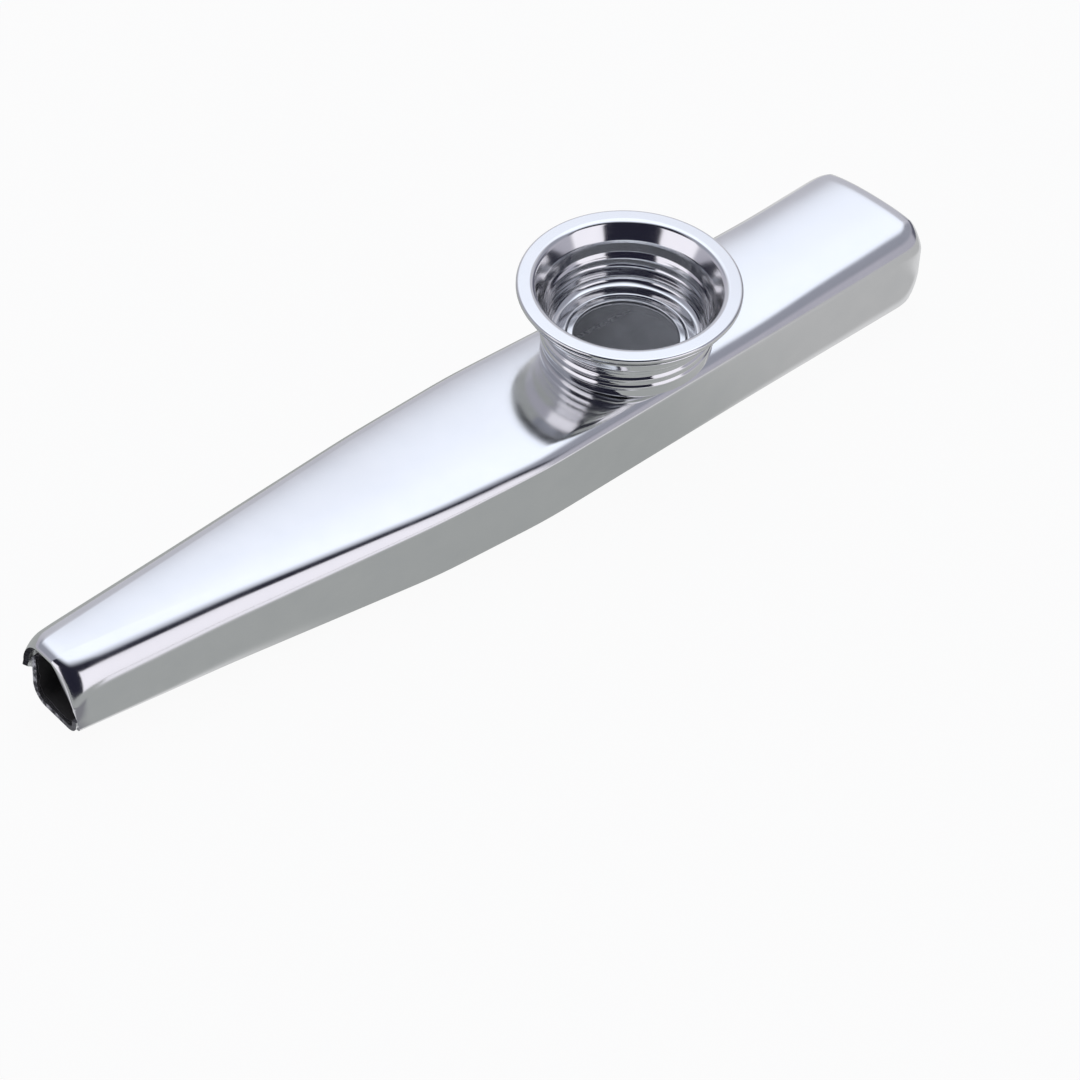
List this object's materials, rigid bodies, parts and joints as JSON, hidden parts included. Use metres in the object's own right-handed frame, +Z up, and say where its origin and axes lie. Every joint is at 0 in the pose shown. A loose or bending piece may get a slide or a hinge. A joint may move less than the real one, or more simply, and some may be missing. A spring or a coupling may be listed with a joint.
{
  "type": "kazoo",
  "caption": "Chromed sheet-metal kazoo with a tapered two-shell body, a threaded turret and a flanged screw cap that clamps a buzzing membrane.",
  "frame": {"origin": "on the ground, under the middle of the bounding box", "axes": "+X along the body from the narrow tip to the mouth end, +Z up along the turret"},
  "size_m": [0.1204, 0.0256, 0.0186],
  "materials": {
    "body_chrome": "bright chrome plate on pressed sheet",
    "tray_chrome": "bright chrome plate on pressed sheet",
    "turret_chrome": "bright chrome plate on drawn sheet",
    "cap_chrome": "bright chrome plate on drawn sheet",
    "ring_white": "matte white",
    "film_clear": "thin clear film"
  },
  "bodies": {
    "body": {"top_shell": "body_chrome", "bottom_shell": "tray_chrome", "turret_neck": "turret_chrome"},
    "membrane": {"membrane_ring": "ring_white", "membrane_film": "film_clear"},
    "cap": {"cap": "cap_chrome"}
  },
  "joints": [
    {"name": "membrane_lift", "type": "slide", "parent": "body", "child": "membrane", "axis": [0, 0, 1], "range_m": [0, 0.00181]},
    {"name": "cap_turn", "type": "hinge", "parent": "membrane", "child": "cap", "pos_m": [0.02095, 0, 0.0147], "axis": [0, 0, 1], "range_deg": [0, 540]}
  ],
  "couplings": [
    {"joint": "membrane_lift", "follows": "cap_turn", "m_per_rad": 0.00019099}
  ]
}
